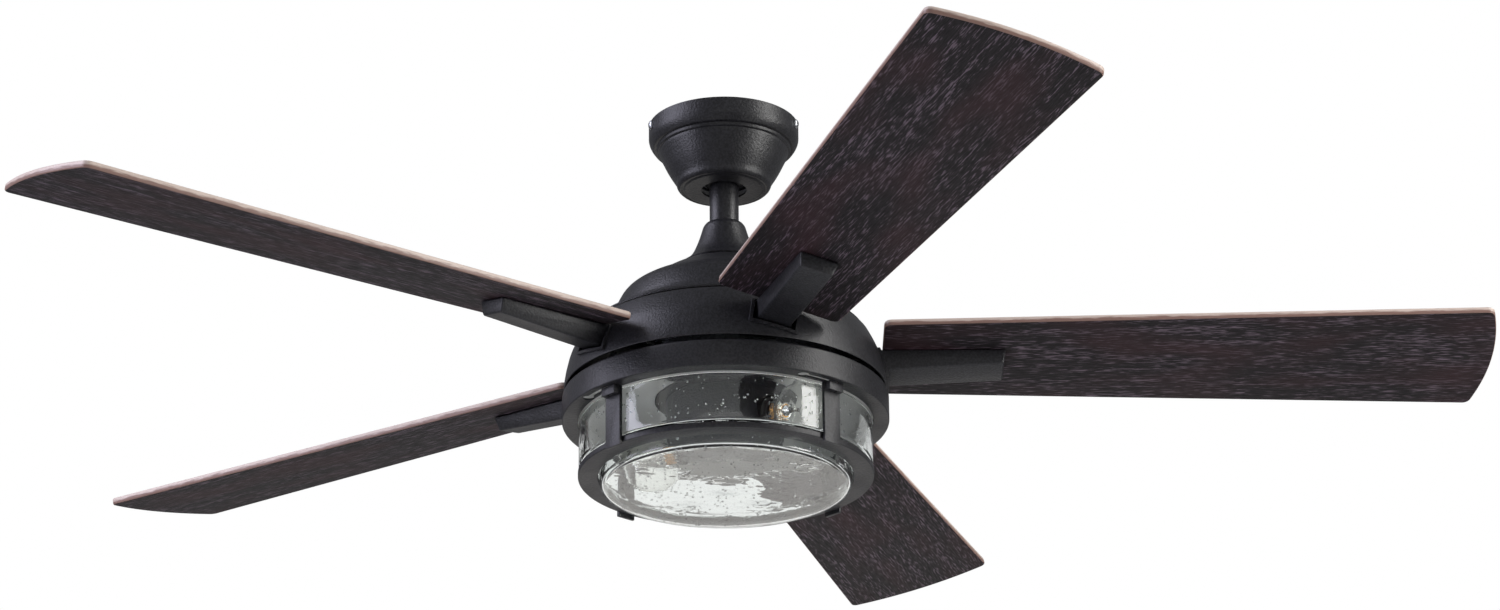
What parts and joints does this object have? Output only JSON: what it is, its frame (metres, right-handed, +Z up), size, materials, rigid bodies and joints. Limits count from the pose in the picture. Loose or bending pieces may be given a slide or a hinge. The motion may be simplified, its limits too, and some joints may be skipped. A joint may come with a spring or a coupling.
{
  "type": "ceiling fan with light",
  "caption": "Ceiling fan: a ball-hung motor with flared covers turns pitched wooden blades on straight arms, over a clear glass light held in a strap cage.",
  "frame": {"origin": "middle of the hanging bracket's flat top, where it lies against the ceiling", "axes": "+Z up along the downrod into the ceiling; +X along the long side of the hanging bracket; -Y is the side the fan is usually seen from"},
  "size_m": [1.2324, 1.2807, 0.3365],
  "materials": {
    "black_paint": "matte powder coat",
    "dark_paint": "satin paint",
    "blade_laminate": "matte wood-grain laminate on a fibreboard core",
    "zinc_steel": "zinc plated",
    "cast_aluminium": "as cast",
    "bearing_steel": "ground",
    "laminated_steel": "varnished laminations",
    "copper_wire": "enamelled winding wire",
    "black_nylon": "moulded",
    "black_phenolic": "moulded",
    "bulb_brass": "rolled thread",
    "clear_glass": "seeded, clear",
    "bulb_clear_glass": "blown, clear"
  },
  "bodies": {
    "ceiling_mount": {"ceiling_bracket": "zinc_steel", "canopy": "black_paint", "canopy_screw_1": "zinc_steel", "canopy_screw_2": "zinc_steel", "canopy_screw_3": "zinc_steel", "canopy_screw_4": "zinc_steel"},
    "hanging_motor": {"hanger_ball": "black_nylon", "ball_pin": "zinc_steel", "downrod": "black_paint", "motor_coupler": "cast_aluminium", "coupler_pin": "zinc_steel", "coupler_clip": "zinc_steel", "coupler_set_screw_1": "zinc_steel", "coupler_set_screw_2": "zinc_steel", "yoke_cover": "black_paint", "upper_housing": "black_paint", "motor_shaft": "bearing_steel", "shaft_nut": "zinc_steel", "stator_core": "laminated_steel", "upper_winding": "copper_wire", "lower_winding": "copper_wire", "light_plate": "zinc_steel", "pan_screw_1": "zinc_steel", "pan_screw_2": "zinc_steel", "pan_screw_3": "zinc_steel", "light_pan": "black_paint", "lamp_bracket": "dark_paint", "lamp_socket_1": "black_phenolic", "lamp_socket_2": "black_phenolic", "bulb_base_1": "bulb_brass", "bulb_base_2": "bulb_brass", "bulb_glass_1": "bulb_clear_glass", "bulb_glass_2": "bulb_clear_glass"},
    "rotor": {"upper_bearing": "bearing_steel", "lower_bearing": "bearing_steel", "rotor_case_upper": "cast_aluminium", "rotor_case_lower": "cast_aluminium", "rotor_ring": "laminated_steel", "middle_housing": "black_paint", "blade_arm_1": "black_paint", "blade_arm_2": "black_paint", "blade_arm_3": "black_paint", "blade_arm_4": "black_paint", "blade_arm_5": "black_paint", "blade_1": "blade_laminate", "blade_2": "blade_laminate", "blade_3": "blade_laminate", "blade_4": "blade_laminate", "blade_5": "blade_laminate"},
    "shade": {"glass_shade": "clear_glass", "cage_ring": "black_paint", "cage_strap_1": "black_paint", "cage_strap_2": "black_paint", "cage_strap_3": "black_paint", "cage_strap_4": "black_paint", "cage_stud_1": "zinc_steel", "cage_stud_2": "zinc_steel", "cage_stud_3": "zinc_steel", "cage_stud_4": "zinc_steel"}
  },
  "joints": [
    {"name": "ball_tilt", "type": "hinge", "parent": "ceiling_mount", "child": "hanging_motor", "pos_m": [0, 0, -0.033], "axis": [0, 1, 0], "range_deg": [-12, 12]},
    {"name": "fan_spin", "type": "hinge", "parent": "hanging_motor", "child": "rotor", "pos_m": [0, 0, -0.2195], "axis": [0, 0, 1], "continuous": true},
    {"name": "shade_twist", "type": "hinge", "parent": "hanging_motor", "child": "shade", "pos_m": [0, 0, -0.2777], "axis": [0, 0, -1], "range_deg": [0, 14]}
  ]
}
